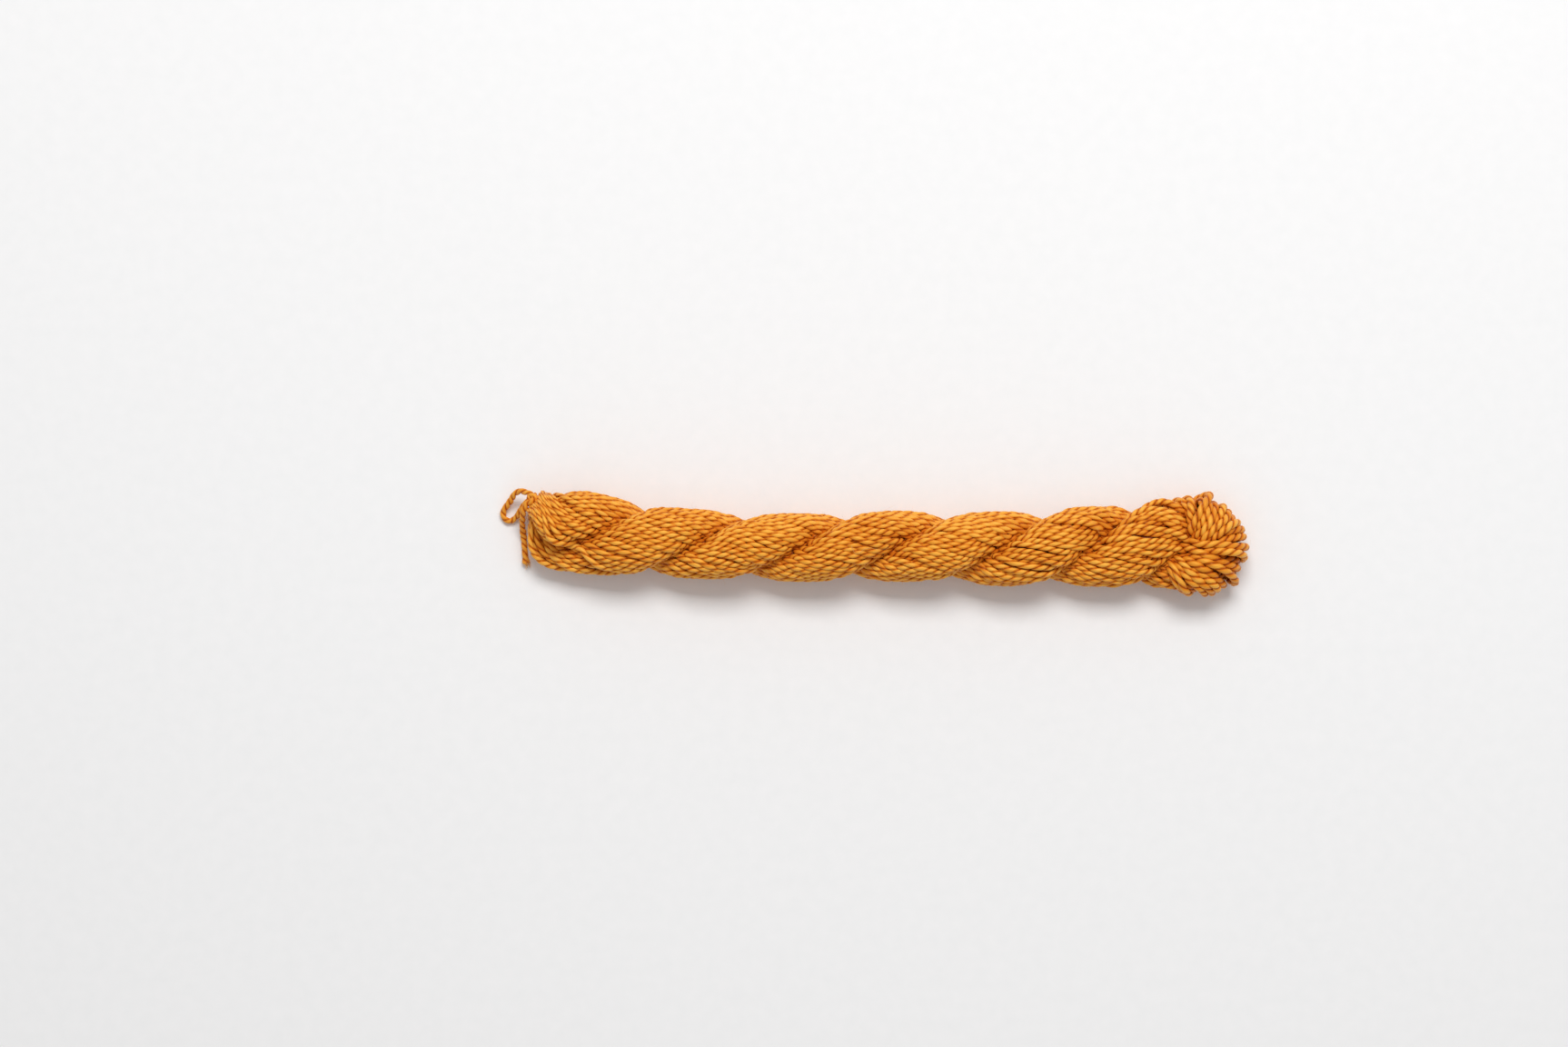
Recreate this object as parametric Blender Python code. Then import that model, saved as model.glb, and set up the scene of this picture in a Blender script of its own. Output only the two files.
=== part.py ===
"""A twisted skein of silk embroidery floss, lying on a surface, with the thread that ties it.

Run it with blender --background --python part.py, or from Blender's text editor.
Lengths are metres in the scene and millimetres in the tables. +Z is up. +X runs along the skein
from its tied end to its folded end. The origin is on the surface, under the skein's middle.
"""
import math
from collections import namedtuple

import bmesh
import bpy
from mathutils import Vector

MM = 0.001

# The skein is a hank of thread folded in two, and its two legs are twisted round each other.
# They lie side by side once in each half turn. A row is one of those places: how far along the
# skein it is, where the skein's middle lies across it, and how wide and high the twist is there.
Crossing = namedtuple("Crossing", "along across width height")
CROSSINGS = [
    Crossing(along=-86.7, across=2.7, width=24.6, height=19.6),
    Crossing(along=-58.0, across=-0.3, width=20.8, height=20.4),
    Crossing(along=-27.2, across=-1.4, width=20.2, height=20.4),
    Crossing(along=1.7, across=-1.0, width=20.9, height=20.4),
    Crossing(along=31.8, across=-1.8, width=22.0, height=20.2),
    Crossing(along=59.4, across=-1.1, width=23.9, height=19.2),
    Crossing(along=86.4, across=-0.4, width=30.2, height=16.0),
]

# An end of the skein is where the legs run into each other. A row says where the skein starts
# to close, where its tip is, where the middle lies across the skein there, and the end's size.
End = namedtuple("End", "starts tip across width height")
TIED_END = End(starts=-92.0, tip=-107.0, across=5.4, width=24.0, height=17.2)
FOLDED_END = End(starts=88.0, tip=107.0, across=-1.5, width=31.0, height=14.4)

# One leg's oval section, for a twist of radius 1: how far the leg's middle is from the axis of
# the twist, and half its size along and across the line that joins the two legs.
LEG_OFFSET = 0.438
LEG_DEEP = 0.562
LEG_WIDE = 0.744

FLATTENED = 0.8          # how far the twist settles where it lies on the surface
LOBES_END = 10.0         # the length past the last crossing in which the two lobes run together
SECTION_POINTS = 44
STEP_ALONG = 2.9
END_RINGS = 9

# The tie is a length of the same thread. It leaves the skein in a knot, makes the loop that held
# a tag, comes back to the knot, and ends in a cut end that lies on the surface.
THREAD = 1.7
KNOT_CENTRE = (-105.5, 13.6, 7.8)
KNOT_SIZE = (3.3, 3.0, 2.8)
LOOP_ROUTE = [
    (-107.3, 14.7, 7.3),
    (-109.0, 15.3, 6.2),
    (-110.9, 14.4, 4.8),
    (-112.0, 12.7, 3.3),
    (-113.3, 11.0, 2.2),
    (-114.4, 9.3, 1.3),
    (-114.2, 7.3, 0.9),
    (-112.5, 6.4, 0.9),
    (-110.8, 7.4, 1.8),
    (-109.3, 9.3, 3.8),
    (-107.6, 11.5, 6.0),
]
END_ROUTE = [
    (-106.9, 12.0, 8.6),
    (-107.7, 10.6, 8.6),
    (-108.2, 8.9, 7.5),
    (-108.5, 6.6, 5.4),
    (-108.6, 4.2, 3.0),
    (-108.4, 1.6, 1.3),
    (-108.2, -1.0, 0.9),
    (-108.0, -3.7, 0.9),
    (-107.6, -7.0, 0.9),
]
ROUTE_STEP = 1.6

SILK = (0.62, 0.165, 0.020, 1.0)


def smooth(knots, values, at):
    """The value at a place, on a smooth curve through the knots that doesn't overshoot them."""
    slopes = [(values[i + 1] - values[i]) / (knots[i + 1] - knots[i]) for i in range(len(knots) - 1)]
    tangents = [slopes[0]]
    for before, after in zip(slopes, slopes[1:]):
        tangents.append(2 * before * after / (before + after) if before * after > 0 else 0.0)
    tangents.append(slopes[-1])
    if at <= knots[0]:
        return values[0] + tangents[0] * (at - knots[0])
    if at >= knots[-1]:
        return values[-1] + tangents[-1] * (at - knots[-1])
    span = max(i for i in range(len(slopes)) if knots[i] <= at)
    width = knots[span + 1] - knots[span]
    t = (at - knots[span]) / width
    start = values[span] * (1 + 2 * t) * (1 - t) ** 2 + tangents[span] * width * t * (1 - t) ** 2
    end = values[span + 1] * t * t * (3 - 2 * t) + tangents[span + 1] * width * t * t * (t - 1)
    return start + end


def lobed_radius(angle):
    """The outline of two ovals side by side, as a distance from the point midway between them."""
    cosine = abs(math.cos(angle))
    sine = math.sin(angle)
    square = (cosine / LEG_DEEP) ** 2 + (sine / LEG_WIDE) ** 2
    linear = cosine * LEG_OFFSET / LEG_DEEP ** 2
    constant = (LEG_OFFSET / LEG_DEEP) ** 2 - 1
    return (linear + math.sqrt(linear * linear - square * constant)) / square


def stations():
    """Places along the skein, closer together where its ends round off."""
    places = []
    for ring in range(END_RINGS):
        left = 1 - math.sin(math.pi / 2 * (ring + 1) / (END_RINGS + 1))
        places.append(TIED_END.starts + (TIED_END.tip - TIED_END.starts) * math.sqrt(1 - (1 - left) ** 2))
        places.append(FOLDED_END.starts + (FOLDED_END.tip - FOLDED_END.starts) * math.sqrt(1 - (1 - left) ** 2))
    steps = round((FOLDED_END.starts - TIED_END.starts) / STEP_ALONG)
    for step in range(steps + 1):
        places.append(TIED_END.starts + (FOLDED_END.starts - TIED_END.starts) * step / steps)
    return sorted(places)


def section(along):
    """One closed outline of the skein, as points that start at +Y and go round by +Z."""
    names = ("across", "width", "height")
    ends = (TIED_END, FOLDED_END)
    knots = [TIED_END.tip] + [crossing.along for crossing in CROSSINGS] + [FOLDED_END.tip]
    rows = [ends[0]] + CROSSINGS + [ends[1]]
    across, width, height = (smooth(knots, [getattr(row, name) for row in rows], along) for name in names)
    turn = smooth(knots[1:-1], [-math.pi * number for number in range(len(CROSSINGS))], along)
    past = max(CROSSINGS[0].along - along, along - CROSSINGS[-1].along, 0.0)
    plain = min(past / LOBES_END, 1.0)
    closing = 1.0
    for end in ends:
        part = (along - end.starts) / (end.tip - end.starts)
        if part > 0:
            closing = math.sqrt(1 - part * part)
    middle = height / 2 - FLATTENED
    outline = []
    for number in range(SECTION_POINTS):
        round_leg = 2 * math.pi * number / SECTION_POINTS
        angle = turn + round_leg
        radius = closing * ((1 - plain) * lobed_radius(round_leg) + plain)
        side = across + radius * width / 2 * math.cos(angle)
        up = max(middle + radius * height / 2 * math.sin(angle), 0.0)
        outline.append(Vector((along, side, up)) * MM)
    return outline


def build_skein():
    """The wound form: a loft through the sections, closed at each tip by a fan."""
    mesh = bmesh.new()
    rings = [[mesh.verts.new(point) for point in section(along)] for along in stations()]
    for ring, following in zip(rings, rings[1:]):
        for number in range(SECTION_POINTS):
            after = (number + 1) % SECTION_POINTS
            mesh.faces.new((ring[number], ring[after], following[after], following[number]))
    for end, ring in ((TIED_END, rings[0]), (FOLDED_END, rings[-1])):
        middle = sum((vertex.co for vertex in ring), Vector()) / SECTION_POINTS
        tip = mesh.verts.new((end.tip * MM, middle.y, middle.z))
        for number in range(SECTION_POINTS):
            mesh.faces.new((ring[number], ring[(number + 1) % SECTION_POINTS], tip))
    bmesh.ops.recalc_face_normals(mesh, faces=mesh.faces)
    return finish_mesh("skein", mesh)


def build_knot():
    """The knot, as the lump that its wraps make."""
    mesh = bmesh.new()
    bmesh.ops.create_uvsphere(mesh, u_segments=14, v_segments=8, radius=0.5)
    bmesh.ops.scale(mesh, vec=Vector(KNOT_SIZE) * MM, verts=mesh.verts)
    knot = finish_mesh("tie_knot", mesh)
    knot.location = Vector(KNOT_CENTRE) * MM
    return knot


def finish_mesh(name, mesh):
    """Turn the edited mesh into an object of the skein's collection, shaded smooth."""
    data = bpy.data.meshes.new(name)
    mesh.to_mesh(data)
    mesh.free()
    data.shade_smooth()
    data.set_sharp_from_angle(angle=math.radians(60))
    shape = bpy.data.objects.new(name, data)
    return shape


def route_points(route):
    """Evenly spaced points on a smooth curve through a route's own points."""
    points = [Vector(point) for point in route]
    distances = [0.0]
    for here, there in zip(points, points[1:]):
        distances.append(distances[-1] + (there - here).length)
    count = round(distances[-1] / ROUTE_STEP)
    places = [distances[-1] * number / count for number in range(count + 1)]
    padded = [points[0] * 2 - points[1]] + points + [points[-1] * 2 - points[-2]]
    result = []
    for place in places:
        span = max(i for i in range(len(points) - 1) if distances[i] <= place + 1e-9)
        t = (place - distances[span]) / (distances[span + 1] - distances[span])
        a, b, c, d = padded[span:span + 4]
        slope = (c - a) / 2
        bend = a - 2.5 * b + 2 * c - d / 2
        turn = (d - a) / 2 + 1.5 * (b - c)
        result.append((b + slope * t + bend * t * t + turn * t * t * t) * MM)
    return result


def build_thread(name, route):
    """One stretch of the tie, as a round thread with closed ends."""
    curve = bpy.data.curves.new(name, "CURVE")
    curve.dimensions = "3D"
    curve.bevel_depth = THREAD / 2 * MM
    curve.bevel_resolution = 2
    curve.use_fill_caps = True
    points = route_points(route)
    spline = curve.splines.new("POLY")
    spline.points.add(len(points) - 1)
    for place, point in zip(spline.points, points):
        place.co = (*point, 1.0)
    return bpy.data.objects.new(name, curve)


def silk_material():
    """Golden silk, soft and a little glossy."""
    material = bpy.data.materials.new("silk")
    material.use_nodes = True
    shader = material.node_tree.nodes["Principled BSDF"]
    shader.inputs["Base Color"].default_value = SILK
    shader.inputs["Roughness"].default_value = 0.45
    shader.inputs["Metallic"].default_value = 0.0
    return material


for leftover in list(bpy.data.objects):
    bpy.data.objects.remove(leftover)

collection = bpy.data.collections.new("embroidery_skein")
bpy.context.scene.collection.children.link(collection)

silk = silk_material()
pieces = [
    build_skein(),
    build_knot(),
    build_thread("tie_loop", LOOP_ROUTE),
    build_thread("tie_end", END_ROUTE),
]
for piece in pieces:
    piece.data.materials.append(silk)
    collection.objects.link(piece)
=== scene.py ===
"""The looks of a twisted skein of silk embroidery floss, and of the thread that ties it.

Lengths are in mm until the meshes are made, and in metres in Blender. +X runs from the tied end
of the skein to its folded end, +Z is up, and the skein lies on the surface z = 0.
"""
import math

import bmesh
import bpy
import numpy as np
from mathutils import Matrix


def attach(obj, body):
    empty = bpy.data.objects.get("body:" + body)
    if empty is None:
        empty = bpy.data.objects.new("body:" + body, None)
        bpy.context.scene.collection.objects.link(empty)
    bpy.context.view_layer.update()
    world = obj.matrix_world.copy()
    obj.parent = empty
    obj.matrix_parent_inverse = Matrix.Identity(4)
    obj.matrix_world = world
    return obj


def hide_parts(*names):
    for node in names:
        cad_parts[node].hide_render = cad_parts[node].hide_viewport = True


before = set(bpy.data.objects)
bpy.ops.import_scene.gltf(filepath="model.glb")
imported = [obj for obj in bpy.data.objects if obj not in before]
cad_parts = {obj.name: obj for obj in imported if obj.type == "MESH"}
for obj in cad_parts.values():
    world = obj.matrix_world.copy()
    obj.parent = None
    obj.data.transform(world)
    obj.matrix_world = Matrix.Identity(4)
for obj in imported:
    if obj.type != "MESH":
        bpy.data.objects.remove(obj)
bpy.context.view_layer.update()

# ---------------------------------------------------------------------------------------------
# The camera looks straight down on the skein, a little past its tied end, from over a metre up.

VIEW_WIDTH = 0.4626      # how much of the surface the camera takes in, in metres
VIEW_HEIGHT = 0.010      # the height over the surface at which it does
LENS = 85.0
SENSOR = 36.0

camera = bpy.data.objects.new("camera", bpy.data.cameras.new("camera"))
camera.data.lens = LENS
camera.data.sensor_width = SENSOR
camera.location = (-0.031, 0.0057, VIEW_HEIGHT + VIEW_WIDTH * LENS / SENSOR)
bpy.context.scene.collection.objects.link(camera)
bpy.context.scene.camera = camera

# ---------------------------------------------------------------------------------------------
# The wound form. A hank of thread is folded in two and its two legs are twisted round each other
# in an S. This section only says where the form is; the thread that fills it comes next.

MM = 0.001

# The places where the legs lie side by side, in mm: how far along the skein and across it each
# one is, and how wide and high the twist is there.
crossing_along = [-85.7, -57.2, -26.6, 2.6, 32.4, 59.8, 86.4]
crossing_across = [2.7, -0.3, -1.4, -1.0, -1.8, -1.1, -0.4]
crossing_width = [24.6, 20.8, 20.2, 20.9, 22.0, 23.9, 30.2]
crossing_height = [19.6, 20.4, 20.4, 20.4, 20.2, 19.2, 16.0]
crossing_turn = [-math.pi * number for number in range(7)]

# One leg's oval section, for a twist of radius 1: how far its middle is from the twist's axis,
# and half its size along and across the line that joins the two legs.
LEG_OFFSET = 0.438
LEG_DEEP = 0.562
LEG_WIDE = 0.744
FLATTENED = 0.8      # how far the twist settles where it lies on the surface, in mm
SKEW = 0.13          # how far each half turn leans along the skein, for its distance across


def smooth(knots, values, at):
    """Values at places along the skein, on a smooth curve that doesn't overshoot its knots."""
    knots = np.asarray(knots, float)
    values = np.asarray(values, float)
    at = np.asarray(at, float)
    slopes = np.diff(values) / np.diff(knots)
    product = slopes[1:] * slopes[:-1]
    total = np.where(product > 0, slopes[1:] + slopes[:-1], 1.0)
    middle = np.where(product > 0, 2 * product / total, 0.0)
    tangents = np.concatenate([slopes[:1], middle, slopes[-1:]])
    span = np.clip(np.searchsorted(knots, at) - 1, 0, len(slopes) - 1)
    length = knots[span + 1] - knots[span]
    t = np.clip((at - knots[span]) / length, 0.0, 1.0)
    inside = (
        values[span] * (1 + 2 * t) * (1 - t) ** 2
        + tangents[span] * length * t * (1 - t) ** 2
        + values[span + 1] * t * t * (3 - 2 * t)
        + tangents[span + 1] * length * t * t * (t - 1)
    )
    before = np.minimum(at - knots[0], 0.0) * tangents[0]
    after = np.maximum(at - knots[-1], 0.0) * tangents[-1]
    return inside + before + after


def twist_at(along):
    """The middle, the half width and half height, and the turn of the legs, along the skein."""
    across = smooth(crossing_along, crossing_across, along)
    width = smooth(crossing_along, crossing_width, along) / 2
    height = smooth(crossing_along, crossing_height, along) / 2
    turn = smooth(crossing_along, crossing_turn, along)
    return across, height - FLATTENED, width, height, turn


def lobed_radius(angle):
    """The outline of the two legs side by side, as a distance from the middle, for radius 1."""
    cosine = np.abs(np.cos(angle))
    sine = np.sin(angle)
    square = (cosine / LEG_DEEP) ** 2 + (sine / LEG_WIDE) ** 2
    linear = cosine * LEG_OFFSET / LEG_DEEP ** 2
    constant = (LEG_OFFSET / LEG_DEEP) ** 2 - 1
    return (linear + np.sqrt(linear * linear - square * constant)) / square


# ---------------------------------------------------------------------------------------------
# The turns of thread, as lines. Each leg is a bundle of strands with a Z twist of its own, against
# the S twist of the legs. At each end every strand goes round a fold and back along the other leg.

STRANDS = 50
THREAD = 1.7         # the thread's thickness where it isn't squeezed
THREAD_LOW = 1.04    # how low its middle can lie on the surface
LEG_LAY = 29.9       # the length of one turn of a leg's strands round the leg
STEP = 1.25          # the spacing of the points on each strand
TIED_JOIN = -91.0    # where the legs end and the paths of the folds begin
FOLDED_JOIN = 80.0
rng = np.random.default_rng(7)


def packed_oval(count, seed):
    """Places for strands in a unit disc, pushed apart until they fill it evenly."""
    spots = np.random.default_rng(seed).uniform(-1, 1, (count, 2)) * 0.7
    spacing = math.sqrt(0.86 / count) * 2
    rim = 1 - spacing * 0.46
    for _ in range(400):
        away = spots[:, None] - spots[None]
        distance = np.hypot(away[..., 0], away[..., 1]) + np.eye(count)
        push = np.clip(spacing - distance, 0, None) / distance * (1 - np.eye(count))
        spots += 0.25 * (away * push[..., None]).sum(1)
        radius = np.hypot(spots[:, 0], spots[:, 1])
        spots *= np.minimum(1, rim / np.maximum(radius, 1e-6))[:, None]
    return spots


def leg_points(along, spots, side):
    """Where a leg's strands are, at places along the skein: an array of place, strand, xyz."""
    across, up, width, height, turn = twist_at(along)
    lay = 2 * math.pi * along / LEG_LAY
    cosine = np.cos(lay)[:, None]
    sine = np.sin(lay)[:, None]
    deep = LEG_OFFSET + LEG_DEEP * (cosine * spots[:, 0] - sine * spots[:, 1])
    wide = LEG_WIDE * (sine * spots[:, 0] + cosine * spots[:, 1])
    cosine = side * np.cos(turn)[:, None]
    sine = side * np.sin(turn)[:, None]
    y = across[:, None] + width[:, None] * (cosine * deep - sine * wide)
    z = up[:, None] + height[:, None] * (sine * deep + cosine * wide)
    x = along[:, None] - SKEW * (y - across[:, None])
    return np.stack([x, y, z], -1)


spots = {1: packed_oval(STRANDS, 3), -1: packed_oval(STRANDS, 11)}
along = np.arange(TIED_JOIN, FOLDED_JOIN + 0.01, 1.0)
legs = {side: leg_points(along, spots[side], side) for side in (1, -1)}

# The folded end. The strands fan out over a round rim and go under it, in three layers. A layer's
# reach is how far round the rim it goes each way, in degrees. Where a layer reaches past the one
# over it, it comes out to the rim itself.
folded_layers = [19, 17, 14]
folded_reach = [82, 97, 108]
folded_centre = np.array([91.3, -0.8, 7.0])
FOLDED_RIM = 14.0    # the outer layer's distance from the middle, and how tightly it bends
FOLDED_BEND = 5.9
FOLDED_LAYER = 1.9   # how much nearer and tighter each next layer is
FLANK = 78           # the degrees round the rim past which a layer comes out to it
FLANK_BLEND = 14
SLANT_FROM = -15     # the degrees past which strands come to the rim at a slant, and how much
SLANT = 0.42
folded_swing = math.radians(110)

# The tied end. The strands are drawn together by the tie, squeezed small, and turn back there.
tied_layers = [10, 9, 9, 8, 7, 7]
tied_bend = [6.2, 5.2, 4.2, 3.2, 2.2, 1.3]
tied_centre = np.array([-103.6, 12.3, 7.8])
tied_along = np.array([-0.70, -0.71, 0.0])
TIED_REACH = 3.1
tied_swing = math.radians(100)


def eased(part):
    """A smooth step from 0 to 1."""
    part = min(max(part, 0.0), 1.0)
    return part * part * (3 - 2 * part)


def heading(angle):
    """The level direction at an angle from +X."""
    return np.array([math.cos(angle), math.sin(angle), 0.0])


def folded_place(layer, share, over):
    """A strand's point on the folded end's rim, its heading there, and how tightly it bends."""
    degrees = (2 * share - 1) * folded_reach[layer]
    own = eased((-over * degrees - FLANK) / FLANK_BLEND)
    either = eased((abs(degrees) - FLANK) / FLANK_BLEND)
    distance = FOLDED_RIM - FOLDED_LAYER * layer * (1 - either)
    rim = folded_centre + heading(math.radians(degrees)) * distance
    # On the flank where its leg lies, a strand comes to the rim at a slant.
    seen = degrees * over
    slanted = seen if seen > SLANT_FROM else SLANT_FROM + SLANT * (seen - SLANT_FROM)
    return rim, heading(math.radians(slanted * over)), FOLDED_BEND - FOLDED_LAYER * layer * (1 - own)


def tied_place(layer, share, join):
    """A strand's point where it turns back at the tie, its heading there, and its bend."""
    inwards = (tied_bend[0] - tied_bend[layer]) * 0.45
    corner = heading(math.radians(135))
    place = tied_centre + tied_along * (2 * share - 1) * TIED_REACH - corner * inwards
    # The lower a strand lies across the skein, the wider it sweeps round to the tie.
    sweep = min(max((13 - join[1]) / 18, 0.0), 1.0)
    return place, heading(math.radians(172 - 92 * sweep)), tied_bend[layer], sweep


def curve_between(start, start_pull, end, end_pull, count):
    """Points on a smooth curve between two ends, the ends left out."""
    t = (np.arange(1, count) / count)[:, None]
    return (
        start * (1 + 2 * t) * (1 - t) ** 2 + start_pull * t * (1 - t) ** 2
        + end * t * t * (3 - 2 * t) + end_pull * t * t * (t - 1)
    )


def fold_path(join, slope, end, layer, share, over):
    """From a leg's join to the rim of a fold, over its top or, with over -1, under it."""
    if end > 0:
        rim, out, bend = folded_place(layer, share, over)
        start_pull = 1.0
        end_pull = 0.9
    else:
        rim, out, bend, sweep = tied_place(layer, share, join)
        start_pull = 1.0 + 0.45 * sweep
        end_pull = 0.9 + 0.9 * sweep
    up = np.array([0.0, 0.0, over])
    top = rim - out * bend + up * bend
    reach = np.linalg.norm(top - join)
    count = max(int(reach), 3)
    lead = curve_between(join, slope * reach * start_pull, top, out * reach * end_pull, count)
    turn = np.linspace(0, math.pi / 2, max(int(bend * 1.2), 3))[:, None]
    return np.concatenate([lead, rim - out * bend * (1 - np.sin(turn)) + up * bend * np.cos(turn)])


def layered(points, swing, counts):
    """Sort a bundle's strands into the layers and places in which they go round a fold."""
    side = math.cos(swing) * points[:, 1] - math.sin(swing) * points[:, 2]
    out = math.sin(swing) * points[:, 1] + math.cos(swing) * points[:, 2]
    by_depth = np.argsort(-out)
    layers = []
    start = 0
    for count in counts:
        members = by_depth[start:start + count]
        layers.append(members[np.argsort(side[members])])
        start += count
    return layers


def fold_paths(side, end):
    """For each strand of a leg, its layer and place at a fold, and its points up to the rim."""
    at, step = (-1, -2) if end > 0 else (0, 1)
    join = legs[side][at]
    slope = join - legs[side][step]
    slope /= np.linalg.norm(slope, axis=1)[:, None]
    front = (side < 0) == (end > 0)
    # Turned so that the fold is at +X and this leg is the one on top.
    seen = (join - join.mean(0)) * np.array([end, end, 1.0]) * ((1, 1, 1) if front else (1, -1, -1))
    counts, swing = (folded_layers, folded_swing) if end > 0 else (tied_layers, tied_swing)
    result = {}
    for layer, members in enumerate(layered(seen, swing, counts)):
        for place, strand in enumerate(members):
            place = place if front else len(members) - 1 - place
            share = place / (len(members) - 1)
            path = fold_path(join[strand], slope[strand], end, layer, share, 1 if front else -1)
            result[strand] = (layer, place, path)
    return result


def closed_strands():
    """The strands as closed loops: along one leg, round a fold, back along the other leg."""
    folds = {(side, end): fold_paths(side, end) for side in (1, -1) for end in (1, -1)}
    partner = {}
    for end in (1, -1):
        slots = {folds[-1, end][strand][:2]: strand for strand in range(STRANDS)}
        for strand in range(STRANDS):
            other = slots[folds[1, end][strand][:2]]
            partner[1, strand, end] = (-1, other)
            partner[-1, other, end] = (1, strand)
    loops = []
    left = {(side, strand) for side in (1, -1) for strand in range(STRANDS)}
    while left:
        side, strand = min(left)
        end = 1
        loop = []
        while (side, strand) in left:
            left.discard((side, strand))
            middle = legs[side][:, strand] if end > 0 else legs[side][::-1, strand]
            before = folds[side, -end][strand][2][::-1]
            after = folds[side, end][strand][2]
            loop.append(np.concatenate([before, middle, after[:-1]]))
            side, strand = partner[side, strand, end]
            end = -end
        loops.append(np.concatenate(loop))
    return loops


def evenly(points, step):
    """A closed line with its points evenly spaced."""
    ring = np.concatenate([points, points[:1]])
    lengths = np.concatenate([[0], np.cumsum(np.linalg.norm(np.diff(ring, axis=0), axis=1))])
    count = int(round(lengths[-1] / step))
    at = np.arange(count) * lengths[-1] / count
    return np.stack([np.interp(at, lengths, ring[:, axis]) for axis in range(3)], -1)


loops = [evenly(loop, STEP) for loop in closed_strands()]
sizes = np.array([len(loop) for loop in loops])
starts = np.concatenate([[0], np.cumsum(sizes)[:-1]])
points = np.concatenate(loops)
loop_number = np.repeat(np.arange(len(loops)), sizes)
loop_place = np.arange(len(points)) - starts[loop_number]
following = starts[loop_number] + (loop_place + 1) % sizes[loop_number]
before = starts[loop_number] + (loop_place - 1) % sizes[loop_number]

# ---------------------------------------------------------------------------------------------
# How the strands settle. They are pushed apart and pulled taut, a little at a time, until they
# pack, gap and ride over each other as thread does when a hank is twisted by hand.

SETTLING = 170
PUSH = 0.22          # the share of an overlap that each step undoes
STIFFNESS = 0.45     # how much of its bending a strand gives up in a step, and of its slack
TENSION = 0.03
HOLD = 0.02          # how much each step draws a strand back to its own lay
REACH = THREAD + 0.8
WANDER = 1.0         # how far a strand strays from its true lay, in mm
WANDER_LENGTH = 13   # and over what length it does so


def close_pairs(points, reach):
    """Every pair of points closer than reach."""
    cell = np.floor((points - points.min(0)) / reach).astype(np.int64) + 1
    size = cell.max(0) + 2
    key = (cell[:, 0] * size[1] + cell[:, 1]) * size[2] + cell[:, 2]
    order = np.argsort(key, kind="stable")
    keys, first, many = np.unique(key[order], return_index=True, return_counts=True)
    most = many.max()
    slot = np.arange(most)
    member = order[np.minimum(first[:, None] + slot, len(order) - 1)]
    members = np.where(slot < many[:, None], member, -1)
    nearby = [(x, y, z) for x in (-1, 0, 1) for y in (-1, 0, 1) for z in (-1, 0, 1)]
    found = []
    for shift in nearby:
        if shift < (0, 0, 0):
            continue
        wanted = keys + (shift[0] * size[1] + shift[1]) * size[2] + shift[2]
        spot = np.minimum(np.searchsorted(keys, wanted), len(keys) - 1)
        hit = keys[spot] == wanted
        a = np.repeat(members[hit][:, :, None], most, 2).ravel()
        b = np.repeat(members[spot[hit]][:, None, :], most, 1).ravel()
        keep = (a >= 0) & (b >= 0)
        if shift == (0, 0, 0):
            keep &= a < b
        a = a[keep]
        b = b[keep]
        near = ((points[a] - points[b]) ** 2).sum(1) < reach * reach
        found.append(np.stack([a[near], b[near]]))
    return np.concatenate(found, 1)


def slow_noise(length, every, closed=True):
    """Smooth random numbers with a spread of 1, one for each of a line's points."""
    knots = max(int(length / every), 3)
    values = rng.normal(0, 1, knots + (0 if closed else 2))
    at = np.arange(length) * knots / length
    low = at.astype(int)
    part = at - low
    part = part * part * (3 - 2 * part)
    return values[low % len(values)] * (1 - part) + values[(low + 1) % len(values)] * part


TIED_THICKNESS = 0.62
FOLDED_SWELLING = 0.26


def squeezed(points):
    """How thick the thread lies: 1 along the skein, less at the tie, more where it fans out."""
    near_tie = np.linalg.norm((points - tied_centre) * (1, 1, 0.5), axis=1)
    drawn_in = TIED_THICKNESS + (1 - TIED_THICKNESS) * np.clip((near_tie - 3.5) / 9.0, 0, 1)
    return drawn_in + FOLDED_SWELLING * np.clip((points[:, 0] - 78) / 16, 0, 1)


def soften_joins(points):
    """Smooth each strand where its leg runs into a fold."""
    near_folded = np.clip(1 - np.abs(points[:, 0] - FOLDED_JOIN - 2) / 11, 0, 1)
    near_tied = np.clip(1 - np.abs(points[:, 0] - TIED_JOIN) / 9, 0, 1)
    weight = 0.5 * np.maximum(near_folded, near_tied)[:, None]
    for _ in range(24):
        points += weight * ((points[before] + points[following]) / 2 - points)


def contain(points):
    """Keep the strands inside the form's outline between its ends, and above the surface."""
    across = twist_at(points[:, 0])[0]
    across, up, width, height, turn = twist_at(points[:, 0] + SKEW * (points[:, 1] - across))
    y = (points[:, 1] - across) / (width - THREAD / 2)
    z = (points[:, 2] - up) / (height - THREAD / 2)
    radius = np.hypot(y, z) + 1e-9
    limit = lobed_radius(np.arctan2(z, y) - turn)
    weight = np.clip((84 - points[:, 0]) / 8, 0, 1) * np.clip((points[:, 0] + 93) / 8, 0, 1)
    shrink = 1 + 0.6 * weight * (np.minimum(1, limit / radius) - 1)
    points[:, 1] = across + y * shrink * (width - THREAD / 2)
    points[:, 2] = up + z * shrink * (height - THREAD / 2)
    points[:, 2] = np.maximum(points[:, 2], THREAD_LOW * squeezed(points))


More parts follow.
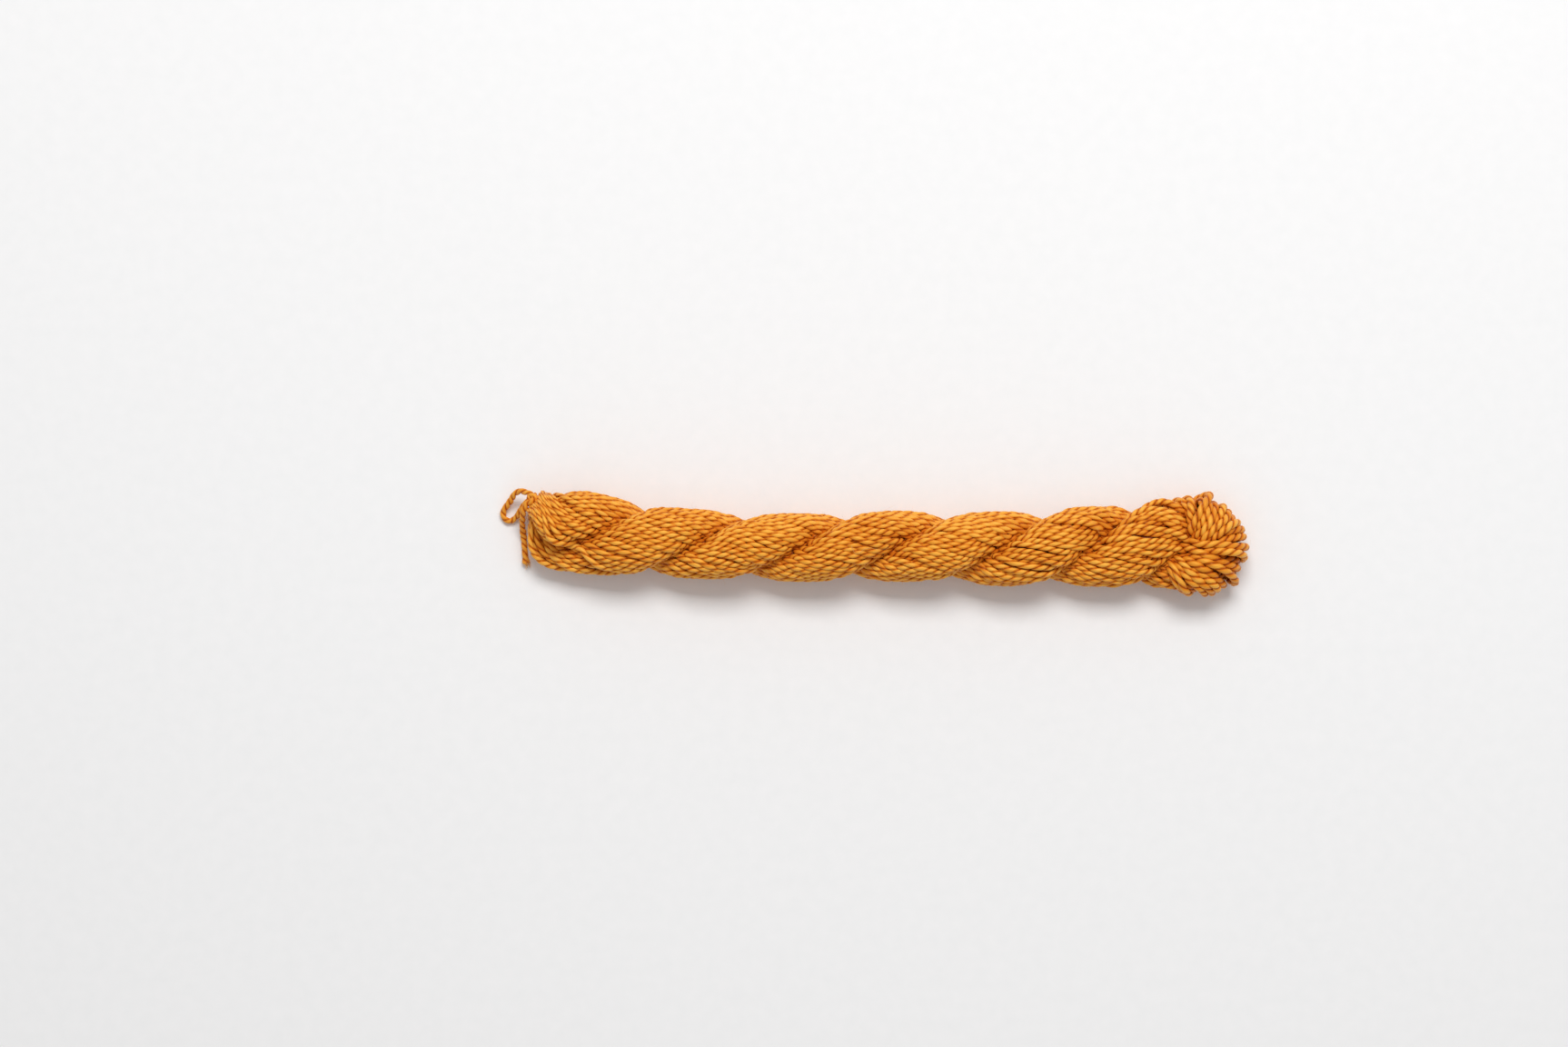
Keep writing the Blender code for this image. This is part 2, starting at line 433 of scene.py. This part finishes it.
def settle(points):
    """Push the strands apart where they press, pull each one smooth, and keep them in the form."""
    home = points.copy()
    for number, size in enumerate(sizes):
        here = slice(starts[number], starts[number] + size)
        for axis in range(3):
            home[here, axis] += WANDER * slow_noise(size, WANDER_LENGTH / STEP)
    for number in range(SETTLING):
        if number % 8 == 0:
            a, b = close_pairs(points, REACH)
            gap = np.abs(loop_place[a] - loop_place[b])
            gap = np.minimum(gap, sizes[loop_number[a]] - gap)
            keep = (loop_number[a] != loop_number[b]) | (gap > 3)
            a = a[keep]
            b = b[keep]
        away = points[a] - points[b]
        distance = np.linalg.norm(away, axis=1) + 1e-6
        thick = squeezed(points[a]) * THREAD
        push = away * (PUSH * np.clip(thick - distance, 0, None) / distance)[:, None]
        for axis in range(3):
            points[:, axis] += np.bincount(a, push[:, axis], len(points))
            points[:, axis] -= np.bincount(b, push[:, axis], len(points))
        pull = (points[before] + points[following]) / 2 - points
        points += STIFFNESS * (pull - (pull[before] + pull[following]) / 2) + TENSION * pull
        points += HOLD * (home - points)
        contain(points)


soften_joins(points)
settle(points)

# ---------------------------------------------------------------------------------------------
# The thread. It is two plies of spun silk twisted together, so a strand is a tube with two lobes
# that wind round it. Only the strands near the outside are made so finely.

PLY_PITCH = 5.7      # the length of one whole turn of the plies
PLY_OFFSET = 0.37    # a ply's middle and half its size each way, for a thread of radius 1
PLY_DEEP = 0.63
PLY_WIDE = 0.80
THREAD_RADIUS = 0.92
RING_STEP = 0.50     # the spacing of the rings of a fine tube
INSIDE_STEP = 1.6    # and of a plain one
ply_angles = np.radians([0, 32, 62, 90, 118, 148, 180, 212, 242, 270, 298, 328])


def ply_radius(angle):
    """The outline of two plies side by side, as a distance from the thread's middle."""
    cosine = np.abs(np.cos(angle))
    sine = np.sin(angle)
    square = (cosine / PLY_DEEP) ** 2 + (sine / PLY_WIDE) ** 2
    linear = cosine * PLY_OFFSET / PLY_DEEP ** 2
    constant = (PLY_OFFSET / PLY_DEEP) ** 2 - 1
    return (linear + np.sqrt(linear * linear - square * constant)) / square


def carried_across(points, closed):
    """A direction across the line at each point, carried along it without twisting."""
    tangent = np.roll(points, -1, 0) - np.roll(points, 1, 0)
    if not closed:
        tangent[0] = points[1] - points[0]
        tangent[-1] = points[-1] - points[-2]
    tangent /= np.linalg.norm(tangent, axis=1)[:, None]
    across = np.zeros_like(points)
    last = np.cross(tangent[0], (0.3, 0.2, 1.0))
    last /= math.sqrt(last @ last)
    for number in range(len(points)):
        last = last - tangent[number] * (last @ tangent[number])
        last /= math.sqrt(last @ last)
        across[number] = last
    if closed:
        # A closed line comes back turned by some angle, which is spread along all of it.
        other = np.cross(tangent[0], across[0])
        last = last - tangent[0] * (last @ tangent[0])
        missed = math.atan2(last @ other, last @ across[0])
        turn = -missed * np.arange(len(points)) / len(points)
        other = np.cross(tangent, across)
        across = across * np.cos(turn)[:, None] + other * np.sin(turn)[:, None]
    return across


def resampled(line, step, spacing):
    """A line through the points with a finer even step, and where each new point lies on it."""
    padded = np.concatenate([2 * line[:1] - line[1:2], line, 2 * line[-1:] - line[-2:-1]])
    spans = len(line) - 1
    count = int(round(spans * spacing / step))
    at = np.arange(count + 1) * spans / count
    span = np.minimum(at.astype(int), spans - 1)
    t = (at - span)[:, None]
    a, b, c, d = (padded[span + shift] for shift in range(4))
    slope = (c - a) * t + (2 * a - 5 * b + 4 * c - d) * t * t + (3 * b - a - 3 * c + d) * t ** 3
    return b + 0.5 * slope, at


def between(values, at):
    """Values given at a line's points, read between them."""
    low = np.minimum(at.astype(int), len(values) - 2)
    part = at - low
    if values.ndim > 1:
        part = part[:, None]
    return values[low] * (1 - part) + values[low + 1] * part


def tube_quads(rings, sides):
    """The faces of an open tube."""
    ring = np.arange(rings - 1)[:, None] * sides
    side = np.arange(sides)[None]
    after = (side + 1) % sides
    quads = np.stack([ring + side, ring + after, ring + sides + after, ring + sides + side], -1)
    return quads.reshape(-1, 4)


def tube(centres, across, size, outline, angles, turn):
    """Rings of points round a line, each with the same outline turned by its own angle."""
    tangent = np.gradient(centres, axis=0)
    tangent /= np.linalg.norm(tangent, axis=1)[:, None]
    across = across - tangent * (across * tangent).sum(1)[:, None]
    across /= np.linalg.norm(across, axis=1)[:, None]
    other = np.cross(tangent, across)
    angle = angles[None] + turn[:, None]
    radius = outline[None] * size[:, None]
    rings = across[:, None] * (np.cos(angle) * radius)[..., None]
    rings = rings + other[:, None] * (np.sin(angle) * radius)[..., None]
    return (centres[:, None] + rings).reshape(-1, 3)


class ThreadMesh:
    """Tubes of thread for one piece, with what the silk's colour and painted shade read at each point."""

    def __init__(self):
        """Start with no tubes."""
        self.vertices = []
        self.quads = []
        self.strand = []
        self.groove = []
        self.buried = []
        self.fibre = []
        self.count = 0
        self.faces = 0

    def add_plied(self, centres, across, size, turn, travelled, strand, buried):
        """Add a tube of two plies."""
        outline = ply_radius(ply_angles)
        vertices = tube(centres, across, size, outline, ply_angles, turn)
        groove = (outline.max() - outline) / (outline.max() - outline.min())
        self.add(vertices, tube_quads(len(centres), len(ply_angles)))
        self.strand.append(np.full(len(vertices), strand))
        self.groove.append(np.tile(groove, len(centres)))
        self.buried.append(np.repeat(buried, len(ply_angles)))
        # Where a point lies in the thread, turned with the plies, and how far along it is.
        place = np.zeros((len(centres), len(ply_angles), 3))
        place[..., 0] = np.cos(ply_angles) + 7 * strand
        place[..., 1] = np.sin(ply_angles)
        place[..., 2] = travelled[:, None]
        self.fibre.append(place.reshape(-1, 3))

    def add(self, vertices, quads):
        """Add a tube's points and faces."""
        self.vertices.append(vertices)
        self.quads.append(quads + self.count)
        self.count += len(vertices)
        self.faces += len(quads)

    def make(self, name):
        """One object of all that was added."""
        mesh = bpy.data.meshes.new(name)
        vertices = np.concatenate(self.vertices) * MM
        quads = np.concatenate(self.quads)
        mesh.vertices.add(len(vertices))
        mesh.vertices.foreach_set("co", vertices.astype(np.float32).ravel())
        mesh.loops.add(len(quads) * 4)
        mesh.loops.foreach_set("vertex_index", quads.astype(np.int32).ravel())
        mesh.polygons.add(len(quads))
        mesh.polygons.foreach_set("loop_start", np.arange(0, len(quads) * 4, 4, dtype=np.int32))
        mesh.polygons.foreach_set("loop_total", np.full(len(quads), 4, np.int32))
        mesh.polygons.foreach_set("use_smooth", np.ones(len(quads), bool))
        for key in ("strand", "groove", "buried"):
            values = getattr(self, key)
            if values:
                layer = mesh.attributes.new(key, "FLOAT", "POINT")
                layer.data.foreach_set("value", np.concatenate(values).astype(np.float32))
        if self.fibre:
            layer = mesh.attributes.new("fibre", "FLOAT_VECTOR", "POINT")
            layer.data.foreach_set("vector", np.concatenate(self.fibre).astype(np.float32).ravel())
        mesh.update()
        mesh.validate()
        shape = bpy.data.objects.new(name, mesh)
        bpy.context.scene.collection.objects.link(shape)
        return shape


def openness(points):
    """Which way is out at each point of a strand: short inside the skein, longer at its surface."""
    a, b = close_pairs(points, 2 * THREAD + 0.2)
    away = points[a] - points[b]
    total = []
    for axis in range(3):
        towards = np.bincount(a, away[:, axis], len(points))
        total.append(towards - np.bincount(b, away[:, axis], len(points)))
    count = np.bincount(a, minlength=len(points)) + np.bincount(b, minlength=len(points))
    return np.stack(total, -1) / np.maximum(count, 1)[:, None]


EXPOSED = 0.55       # how open a strand has to be to be made finely

outwards = openness(points)
exposure = np.linalg.norm(outwards, axis=1)
shown = exposure > EXPOSED
for _ in range(3):
    shown = shown | shown[before] | shown[following]
for _ in range(2):
    shown = shown & shown[before] & shown[following]
# How deep a strand lies, from 0 at the skein's surface to 1. The deeper it lies, the darker
# its colour, as painted shade.
buried = np.clip((1.15 - exposure) / 0.75, 0, 1)
for _ in range(3):
    buried = (buried[before] + 2 * buried + buried[following]) / 4

# ---------------------------------------------------------------------------------------------
# Spun silk, dyed in the hank. Its colour holds a painted highlight, gold on the crowns of the plies,
# and painted shade, deep red-brown, in the grooves between plies and on strands deep in the skein.

# The silk's colours, from the painted shade of the grooves, through its dye, to the painted highlight on the
# crowns.
SILK_DYE_AND_SHADE_TONES = [(0.0, "#6C2204"), (0.3, "#AC4708"), (0.58, "#D06C12"), (0.82, "#E68F26"), (1.0, "#F6B045")]


def linear(code):
    """An sRGB hex colour as linear RGBA."""
    parts = [int(code[place:place + 2], 16) / 255 for place in (1, 3, 5)]
    parts = [part / 12.92 if part <= 0.04045 else ((part + 0.055) / 1.055) ** 2.4 for part in parts]
    return (*parts, 1.0)


def new_material(name):
    """A new material, its node tree and its shader."""
    material = bpy.data.materials.new(name)
    material.use_nodes = True
    return material, material.node_tree, material.node_tree.nodes["Principled BSDF"]


def node(tree, kind, settings, links):
    """Add a node, with its settings and with what feeds its sockets."""
    made = tree.nodes.new(kind)
    for name, value in settings.items():
        if isinstance(name, int) or name in made.inputs:
            made.inputs[name].default_value = value
        else:
            setattr(made, name, value)
    for socket, source in links.items():
        tree.links.new(source, made.inputs[socket])
    return made


silk, tree, shader = new_material("spun_silk")
strand = node(tree, "ShaderNodeAttribute", {"attribute_name": "strand"}, {})
groove = node(tree, "ShaderNodeAttribute", {"attribute_name": "groove"}, {})
# How deep the strand lies, which darkens the silk as painted shade.
deep = node(tree, "ShaderNodeAttribute", {"attribute_name": "buried"}, {})
fibre = node(tree, "ShaderNodeAttribute", {"attribute_name": "fibre"}, {})

# Fibres about 0.15 mm apart round the thread, and 2 mm long.
stretch = node(tree, "ShaderNodeVectorMath", {"operation": "MULTIPLY", 1: (6.0, 6.0, 0.5)},
               {0: fibre.outputs["Vector"]})
fibres = node(tree, "ShaderNodeTexNoise", {"Scale": 1.0, "Detail": 3.0, "Roughness": 0.6},
              {"Vector": stretch.outputs["Vector"]})
# Slow patches about 5 mm long, in which the strand took more or less dye.
patch = node(tree, "ShaderNodeVectorMath", {"operation": "MULTIPLY", 1: (0.7, 0.7, 0.2)},
             {0: fibre.outputs["Vector"]})
patches = node(tree, "ShaderNodeTexNoise", {"Scale": 1.0, "Detail": 1.0},
               {"Vector": patch.outputs["Vector"]})

# The tone, from 0 in the deepest groove to 1 on the brightest crown: painted shade in grooves and
# on deep strands, a painted highlight on crowns, with fibres, dye patches and strand tints on top.
tone = node(tree, "ShaderNodeMath", {"operation": "MULTIPLY_ADD", 1: -0.72, 2: 0.50},
            {0: groove.outputs["Fac"]})
for source, amount in ((fibres, 0.42), (patches, 0.36), (strand, 0.16), (deep, -0.42)):
    tone = node(tree, "ShaderNodeMath", {"operation": "MULTIPLY_ADD", 1: amount},
                {0: source.outputs["Fac"], 2: tone.outputs["Value"]})
colour = node(tree, "ShaderNodeValToRGB", {}, {"Fac": tone.outputs["Value"]})
ramp = colour.color_ramp.elements
while len(ramp) < len(SILK_DYE_AND_SHADE_TONES):
    ramp.new(0.5)
for mark, (position, code) in zip(ramp, SILK_DYE_AND_SHADE_TONES):
    mark.position = position
    mark.color = linear(code)
bump = node(tree, "ShaderNodeBump", {"Strength": 0.55, "Distance": 0.00006},
            {"Height": fibres.outputs["Fac"]})
tree.links.new(colour.outputs["Color"], shader.inputs["Base Color"])
tree.links.new(bump.outputs["Normal"], shader.inputs["Normal"])
shader.inputs["Roughness"].default_value = 0.42
shader.inputs["Specular IOR Level"].default_value = 0.55
shader.inputs["Specular Tint"].default_value = linear("#FFD27A")
shader.inputs["Sheen Weight"].default_value = 0.18
shader.inputs["Sheen Roughness"].default_value = 0.35
shader.inputs["Sheen Tint"].default_value = linear("#FFC45E")

# ---------------------------------------------------------------------------------------------
# The skein: every turn of thread, in pieces of a size that other programs can take. The strands
# inside are plain tubes of the same silk, seen only as depth between the others.

PIECE_FACES = 86000

skein_pieces = []
fine = ThreadMesh()
coarse = ThreadMesh()
plain_sides = np.arange(6) * math.pi / 3
plain_outline = np.full(6, 0.8)


def finish_piece(threads, name, node_names, material):
    """Make a piece of gathered thread, say what it rides on, and hide the parts that it stands for."""
    piece = threads.make(name)
    piece.data.materials.append(material)
    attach(piece, "root")
    if node_names:
        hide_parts(*node_names)
    return piece


def runs(flags):
    """Where a closed line's flags change: the first point and the length of each run."""
    changes = np.flatnonzero(flags != np.roll(flags, 1))
    if len(changes) == 0:
        return [(0, len(flags))]
    lengths = (np.roll(changes, -1) - changes) % len(flags)
    return list(zip(changes, lengths))


for number, size in enumerate(sizes):
    here = slice(starts[number], starts[number] + size)
    line = points[here]
    across = carried_across(line, True)
    thickness = THREAD_RADIUS * squeezed(line) * (1 + 0.05 * slow_noise(size, 9 / STEP))
    turns = round(size * STEP / PLY_PITCH)
    turn = rng.uniform(0, 6) - 2 * math.pi * turns * np.arange(size) / size
    turn = turn + 0.5 * slow_noise(size, 16 / STEP)
    for first, length in runs(shown[here]):
        index = (first - 1 + np.arange(length + 2)) % size
        is_shown = shown[here][first]
        centres, at = resampled(line[index], RING_STEP if is_shown else INSIDE_STEP, STEP)
        sideways = between(across[index], at)
        radius = between(thickness[index], at)
        if is_shown:
            travelled = (first + at) * STEP
            # The turn drops by a whole number of turns where the closed line begins again.
            wound = np.unwrap(turn[index], period=2 * math.pi * turns)
            fine.add_plied(centres, sideways, radius, between(wound, at), travelled,
                           rng.uniform(), between(buried[here][index], at))
        else:
            coarse.add(tube(centres, sideways, radius, plain_outline, plain_sides, 0 * radius),
                       tube_quads(len(centres), 6))
        if fine.faces > PIECE_FACES:
            name = f"floss_{len(skein_pieces) + 1}"
            skein_pieces.append(finish_piece(fine, name, ["skein"], silk))
            fine = ThreadMesh()
skein_pieces.append(finish_piece(fine, f"floss_{len(skein_pieces) + 1}", ["skein"], silk))

# The same silk on the strands inside: dull, and painted as dark as the grooves' painted shade.
inner_silk, inner_tree, inner_shader = new_material("spun_silk_inside")
inner_noise = node(inner_tree, "ShaderNodeTexNoise", {"Scale": 900.0, "Detail": 2.0}, {})
inner_shaded_tone = node(inner_tree, "ShaderNodeValToRGB", {}, {"Fac": inner_noise.outputs["Fac"]})
inner_shaded_tone.color_ramp.elements[0].color = linear("#6E2504")
inner_shaded_tone.color_ramp.elements[1].color = linear("#B7560F")
inner_tree.links.new(inner_shaded_tone.outputs["Color"], inner_shader.inputs["Base Color"])
inner_shader.inputs["Roughness"].default_value = 0.7
skein_pieces.append(finish_piece(coarse, "floss_inside", ["skein"], inner_silk))

# ---------------------------------------------------------------------------------------------
# The tie: one cut length of the same thread. It comes out of the skein's corner, goes through its
# own knot, makes the loop that held a tag, comes back over the knot, and hangs down to a cut end.

TIE_RADIUS = 0.93
TIE_PITCH = 4.5
tie_route = [
    (-102.0, 12.7, 8.3),
    (-103.7, 13.2, 8.1),
    (-105.5, 12.9, 7.3),
    (-107.6, 11.5, 6.0),
    (-109.3, 9.3, 3.8),
    (-110.8, 7.4, 1.8),
    (-112.5, 6.4, 1.1),
    (-114.2, 7.3, 1.1),
    (-114.4, 9.3, 1.3),
    (-113.3, 11.0, 2.2),
    (-112.0, 12.7, 3.3),
    (-110.9, 14.4, 4.8),
    (-109.0, 15.3, 6.2),
    (-107.3, 14.9, 7.5),
    (-105.7, 14.3, 8.9),
    (-104.6, 13.3, 9.7),
    (-105.2, 12.3, 9.8),
    (-106.7, 11.7, 8.9),
    (-107.7, 10.3, 8.3),
    (-108.2, 8.7, 7.3),
    (-108.5, 6.6, 5.4),
    (-108.6, 4.2, 3.0),
    (-108.4, 1.6, 1.4),
    (-108.2, -1.0, 1.05),
    (-108.0, -3.7, 1.1),
    (-107.6, -6.6, 1.4),
]


def through(route, step):
    """Points on a smooth curve through a route's own points."""
    route = np.array(route, float)
    lengths = np.concatenate([[0], np.cumsum(np.linalg.norm(np.diff(route, axis=0), axis=1))])
    slopes = np.gradient(route, lengths, axis=0)
    at = np.linspace(0, lengths[-1], int(lengths[-1] / step) + 1)
    low = np.clip(np.searchsorted(lengths, at, side="right") - 1, 0, len(route) - 2)
    span = (lengths[low + 1] - lengths[low])[:, None]
    t = (at - lengths[low])[:, None] / span
    return (
        route[low] * (1 + 2 * t) * (1 - t) ** 2 + slopes[low] * span * t * (1 - t) ** 2
        + route[low + 1] * t * t * (3 - 2 * t) + slopes[low + 1] * span * t * t * (t - 1)
    )


def add_thread(threads, centres, size, pitch, phase, strand, buried):
    """A short free length of plied thread with rounded ends."""
    steps = np.linalg.norm(np.diff(centres, axis=0), axis=1)
    travelled = np.concatenate([[0], np.cumsum(steps)])
    from_end = np.minimum(travelled, travelled[-1] - travelled)
    rounded = np.sqrt(np.clip(1 - (1 - from_end / 0.8) ** 2, 0.02, 1)) * (from_end < 0.8) + (from_end >= 0.8)
    turn = phase - 2 * math.pi * travelled / pitch + 0.3 * slow_noise(len(centres), 14, False)
    thickness = size * rounded * (1 + 0.05 * slow_noise(len(centres), 9, False))
    threads.add_plied(centres, carried_across(centres, False), thickness, turn, travelled, strand,
                      np.full(len(centres), buried))
    return travelled[-1]


tie_line = through(tie_route, 0.36)
near_tip = np.linalg.norm(tie_line - tie_line[-1], axis=1)
tie_thread = ThreadMesh()
# The tie's last number is how deep it counts as lying, which darkens it a little as painted shade.
tie_length = add_thread(tie_thread, tie_line, TIE_RADIUS * (1 + 0.3 * np.clip(1 - near_tip / 3, 0, 1)),
                        TIE_PITCH, 0.6, 0.55, 0.15)
tie = finish_piece(tie_thread, "tie_thread", ["tie_knot", "tie_loop", "tie_end"], silk)

# The knot is an overhand one pulled tight: two turns of the thread bite on the lengths inside it.
knot_centre = np.array([-105.1, 13.1, 8.1])
knot_axis = np.array([-0.88, 0.10, -0.46])
knot_across = np.cross(knot_axis, (0.0, 1.0, 0.2))
knot_across /= np.linalg.norm(knot_across)
knot_up = np.cross(knot_axis, knot_across)
knot_turn = np.linspace(0.4, 0.4 + 2 * math.pi * 1.8, 42)[:, None]
knot_line = knot_centre + knot_axis * (knot_turn - 6.0) * 0.24
knot_line = knot_line + 1.18 * (knot_across * np.cos(knot_turn) + knot_up * np.sin(knot_turn))
knot_thread = ThreadMesh()
# The knot's turns are darkened a little as painted shade, as if lying slightly deep.
add_thread(knot_thread, knot_line, 0.74, TIE_PITCH, 2.0, 0.35, 0.1)
knot = finish_piece(knot_thread, "tie_knot_turns", ["tie_knot"], silk)

# ---------------------------------------------------------------------------------------------
# Loose fibres. Spun silk sheds a thin fuzz all over, a few pale hairs lie across the skein, and the
# tie's cut end is frayed. The fuzz is drawn a few times as thick as the real fibre so that it shows.

FUZZ = 1500
FUZZ_RADIUS = 0.02
LYING_RADIUS = 0.085
hair_sides = np.radians([0, 120, 240])
hair_outline = np.ones(3)


def add_hair(threads, line, radius):
    """One fibre that thins towards its tip."""
    taper = radius * np.linspace(1, 0.35, len(line))
    across = np.cross(np.gradient(line, axis=0), rng.normal(0, 1, 3))
    threads.add(tube(line, across, taper, hair_outline, hair_sides, 0 * taper), tube_quads(len(line), 3))


def hair_line(start, direction, length, curl):
    """A fibre that sets off in a direction and curls as it goes."""
    bend = rng.normal(0, curl, 3)
    line = [start]
    for _ in range(6):
        direction = direction + bend / 6 + rng.normal(0, curl / 12, 3)
        direction = direction / math.sqrt(direction @ direction)
        step = line[-1] + direction * length / 6
        line.append(np.array([step[0], step[1], max(step[2], 0.05)]))
    return np.array(line)


fuzz = ThreadMesh()
open_points = np.flatnonzero(exposure > 0.85)
for at in rng.choice(open_points, FUZZ):
    out = outwards[at] / exposure[at]
    run = points[following[at]] - points[before[at]]
    run *= rng.choice([-1, 1]) / np.linalg.norm(run)
    slant = rng.uniform(0.15, 0.9)
    start = points[at] + out * 0.8 + rng.normal(0, 0.25, 3)
    direction = run * math.cos(slant) + out * math.sin(slant) + rng.normal(0, 0.3, 3)
    line = hair_line(start, direction, rng.gamma(3, 0.45), 0.9)
    add_hair(fuzz, line, FUZZ_RADIUS * rng.uniform(0.7, 1.3))
for at in rng.choice(len(tie_line), 60):
    start = tie_line[at] + rng.normal(0, 0.4, 3)
    add_hair(fuzz, hair_line(start, rng.normal(0, 1, 3), rng.gamma(3, 0.4), 1.3), FUZZ_RADIUS)
for _ in range(70):
    start = tie_line[-3] + rng.normal(0, 0.45, 3)
    direction = (tie_line[-1] - tie_line[-6]) + rng.normal(0, 0.9, 3)
    add_hair(fuzz, hair_line(start, direction, rng.uniform(0.7, 1.7), 0.7), rng.uniform(0.04, 0.08))


def surface_height(x, y):
    """How high the thread's surface is over a place."""
    aside = np.hypot(points[:, 0] - x, points[:, 1] - y)
    over = points[:, 2] + np.sqrt(np.clip(0.9 - aside ** 2, 0, None))
    return over[aside < 0.95].max(initial=0.0)


# Hairs that lie across the strands, as places along and across the skein.
lying_hairs = [
    [(-11.3, -0.6), (-10.8, -2.1), (-9.9, -3.2), (-8.9, -2.9), (-7.6, -1.8), (-5.8, -1.5), (-3.5, -1.9),
     (-1.2, -1.8), (0.1, -1.3)],
    [(52.1, 5.2), (53.0, 5.0), (54.0, 4.4)],
    [(60.7, 4.4), (61.5, 3.2), (61.8, 1.9)],
    [(61.3, 0.4), (62.4, 0.0)],
    [(86.6, 11.6), (86.5, 12.7), (87.0, 13.4), (87.5, 12.8)],
]
for places in lying_hairs:
    flat = through([(x, y, 0.0) for x, y in places], 0.35)
    flat[:, 2] = [surface_height(x, y) + 0.05 for x, y, _ in flat]
    for _ in range(3):
        flat[1:-1, 2] = np.maximum(flat[1:-1, 2], (flat[:-2, 2] + flat[2:, 2]) / 2)
    add_hair(fuzz, flat, LYING_RADIUS)

# Single silk fibres let light through, so they look paler than the thread.
loose_silk, loose_tree, loose_shader = new_material("loose_silk_fibre")
loose_noise = node(loose_tree, "ShaderNodeTexNoise", {"Scale": 300.0}, {})
loose_tone = node(loose_tree, "ShaderNodeValToRGB", {}, {"Fac": loose_noise.outputs["Fac"]})
loose_tone.color_ramp.elements[0].color = linear("#E59A3A")
loose_tone.color_ramp.elements[1].color = linear("#F9CE86")
loose_tree.links.new(loose_tone.outputs["Color"], loose_shader.inputs["Base Color"])
loose_shader.inputs["Roughness"].default_value = 0.5
finish_piece(fuzz, "loose_fibres", [], loose_silk)

# ---------------------------------------------------------------------------------------------
# The surface is plain white paper, under one soft studio light from beyond the skein's +Y side and
# an even white fill.

floor = bpy.data.objects.new("floor", bpy.data.meshes.new("floor"))
grid = bmesh.new()
bmesh.ops.create_grid(grid, x_segments=1, y_segments=1, size=3.0)
grid.to_mesh(floor.data)
grid.free()
bpy.context.scene.collection.objects.link(floor)
# Smooth matt paper, with the faintest grain.
paper, paper_tree, paper_shader = new_material("white_paper")
grain = node(paper_tree, "ShaderNodeTexNoise", {"Scale": 1400.0, "Detail": 3.0}, {})
grain_tone = node(paper_tree, "ShaderNodeValToRGB", {}, {"Fac": grain.outputs["Fac"]})
grain_tone.color_ramp.elements[0].color = linear("#F2F2F2")
grain_tone.color_ramp.elements[1].color = linear("#F8F7F7")
paper_tree.links.new(grain_tone.outputs["Color"], paper_shader.inputs["Base Color"])
paper_shader.inputs["Roughness"].default_value = 0.9
floor.data.materials.append(paper)

KEY_WATTS = 13.5
FILL_STRENGTH = 0.46

key = bpy.data.objects.new("key", bpy.data.lights.new("key", "AREA"))
key.data.shape = "RECTANGLE"
key.data.size = 0.8
key.data.size_y = 0.5
key.data.energy = KEY_WATTS
key.location = (0.1, 0.75, 1.2)
key.rotation_euler = (-key.location).to_track_quat("-Z", "Y").to_euler()
bpy.context.scene.collection.objects.link(key)
studio = bpy.data.worlds.new("studio")
studio.use_nodes = True
studio.node_tree.nodes["Background"].inputs["Color"].default_value = (1, 1, 1, 1)
studio.node_tree.nodes["Background"].inputs["Strength"].default_value = FILL_STRENGTH
bpy.context.scene.world = studio
bpy.context.scene.view_settings.view_transform = "Standard"
